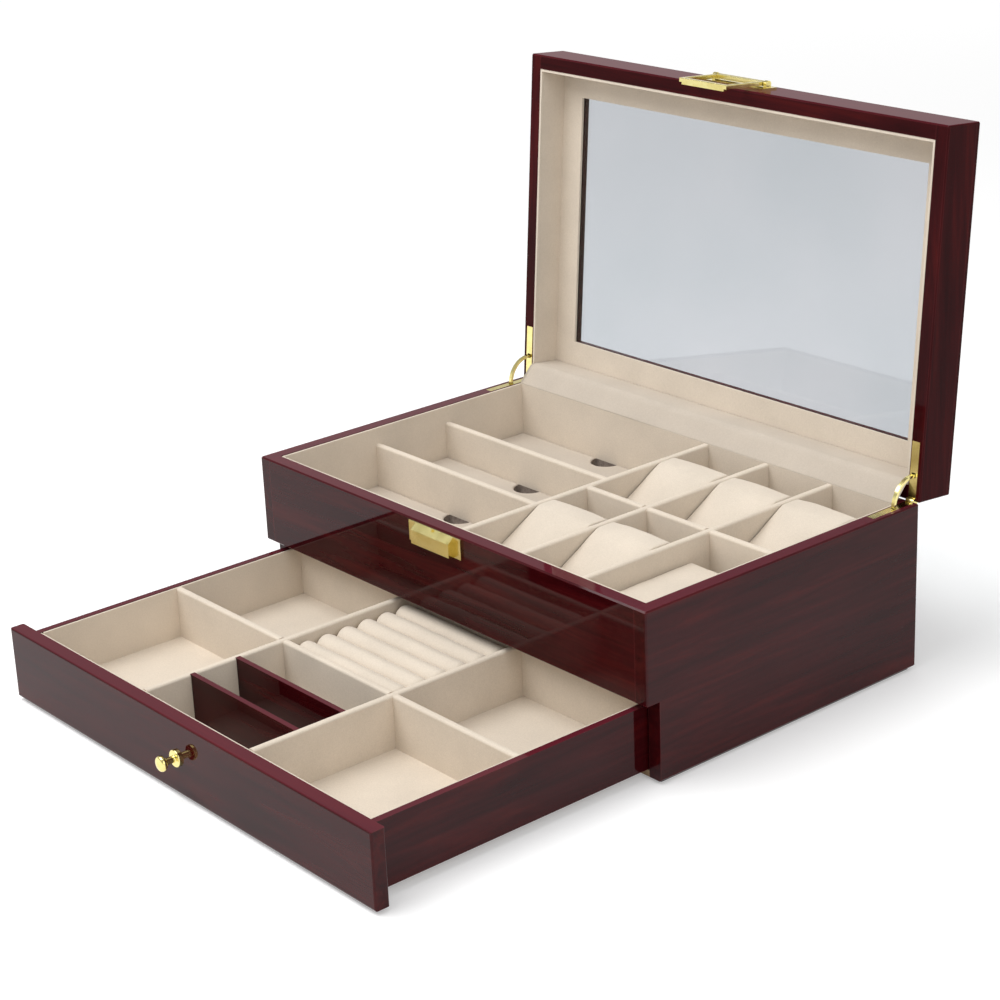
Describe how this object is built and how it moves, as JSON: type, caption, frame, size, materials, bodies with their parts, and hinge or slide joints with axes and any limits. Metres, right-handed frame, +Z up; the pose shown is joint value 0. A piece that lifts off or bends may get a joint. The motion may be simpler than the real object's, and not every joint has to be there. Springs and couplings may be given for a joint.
{
  "type": "jewellery box",
  "caption": "Lacquered jewellery box with a glazed lid on quadrant hinges, a velvet-lined tray with watch pillows, and a full-width lined drawer.",
  "frame": {"origin": "centre of the base felt's underside", "axes": "+X right seen from the drawer's side, +Y back towards the hinges, +Z up"},
  "size_m": [0.33, 0.4369, 0.3106],
  "materials": {
    "lacquer": "high gloss burgundy lacquer",
    "plain_wood": "bare board",
    "velvet": "cream velvet over card and foam",
    "felt": "felt",
    "brass": "polished",
    "glass": "clear"
  },
  "bodies": {
    "case": {"case_side_left": "lacquer", "case_side_right": "lacquer", "case_front_panel": "lacquer", "case_back_panel": "lacquer", "case_deck": "plain_wood", "case_bottom": "plain_wood", "tray_lining": "velvet", "glasses_pad_1": "velvet", "glasses_pad_2": "velvet", "glasses_pad_3": "velvet", "long_divider": "velvet", "glasses_wall_1": "velvet", "glasses_wall_2": "velvet", "watch_floor": "velvet", "watch_row_divider": "velvet", "watch_column_divider_1": "velvet", "watch_column_divider_2": "velvet", "watch_pillow_1": "velvet", "watch_pillow_2": "velvet", "watch_pillow_3": "velvet", "watch_pillow_4": "velvet", "watch_pillow_5": "velvet", "flat_pillow": "velvet", "hinge_flap": "velvet", "base_felt": "felt", "catch": "brass", "case_hinge_leaf_left": "brass", "case_hinge_leaf_right": "brass", "hinge_pins": "brass", "case_hinge_screws": "brass"},
    "drawer": {"drawer_front": "lacquer", "slot_board_1": "lacquer", "slot_board_2": "lacquer", "drawer_side_left": "lacquer", "drawer_side_right": "lacquer", "drawer_back": "lacquer", "drawer_floor": "plain_wood", "drawer_inner_front": "velvet", "drawer_lining": "velvet", "drawer_floor_lining": "velvet", "drawer_row_divider": "velvet", "drawer_column_divider_1": "velvet", "drawer_column_divider_2": "velvet", "ring_cushion": "velvet", "drawer_knob": "brass"},
    "lid": {"lid_rail_front": "lacquer", "lid_rail_rear": "lacquer", "lid_rail_left": "lacquer", "lid_rail_right": "lacquer", "lid_top_panel": "lacquer", "lid_window_frame": "velvet", "lid_lining": "velvet", "lid_hinge_leaf_left": "brass", "lid_hinge_leaf_right": "brass", "lid_hinge_screws": "brass", "clasp_base": "brass", "lid_glass": "glass"},
    "clasp_bail": {"clasp_bail": "brass"},
    "hinge_stay_left": {"hinge_stay_left": "brass"},
    "hinge_stay_right": {"hinge_stay_right": "brass"}
  },
  "joints": [
    {"name": "drawer_slide", "type": "slide", "parent": "case", "child": "drawer", "axis": [0, 1, 0], "range_m": [0, 0.1758]},
    {"name": "lid_hinge", "type": "hinge", "parent": "case", "child": "lid", "pos_m": [0, 0.10325, 0.0994], "axis": [1, 0, 0], "range_deg": [0, 94.7], "deforming": ["hinge_flap"]},
    {"name": "bail_pivot", "type": "hinge", "parent": "lid", "child": "clasp_bail", "pos_m": [0, 0.13584, 0.30663], "axis": [-1, 0, 0], "range_deg": [0, 100]},
    {"name": "stay_left", "type": "hinge", "parent": "case", "child": "hinge_stay_left", "pos_m": [-0.1596, 0.10325, 0.0994], "axis": [1, 0, 0], "range_deg": [0, 47.4]},
    {"name": "stay_right", "type": "hinge", "parent": "case", "child": "hinge_stay_right", "pos_m": [0.1596, 0.10325, 0.0994], "axis": [1, 0, 0], "range_deg": [0, 47.4]}
  ],
  "couplings": [
    {"joint": "stay_left", "follows": "lid_hinge", "ratio": 0.5},
    {"joint": "stay_right", "follows": "lid_hinge", "ratio": 0.5}
  ]
}
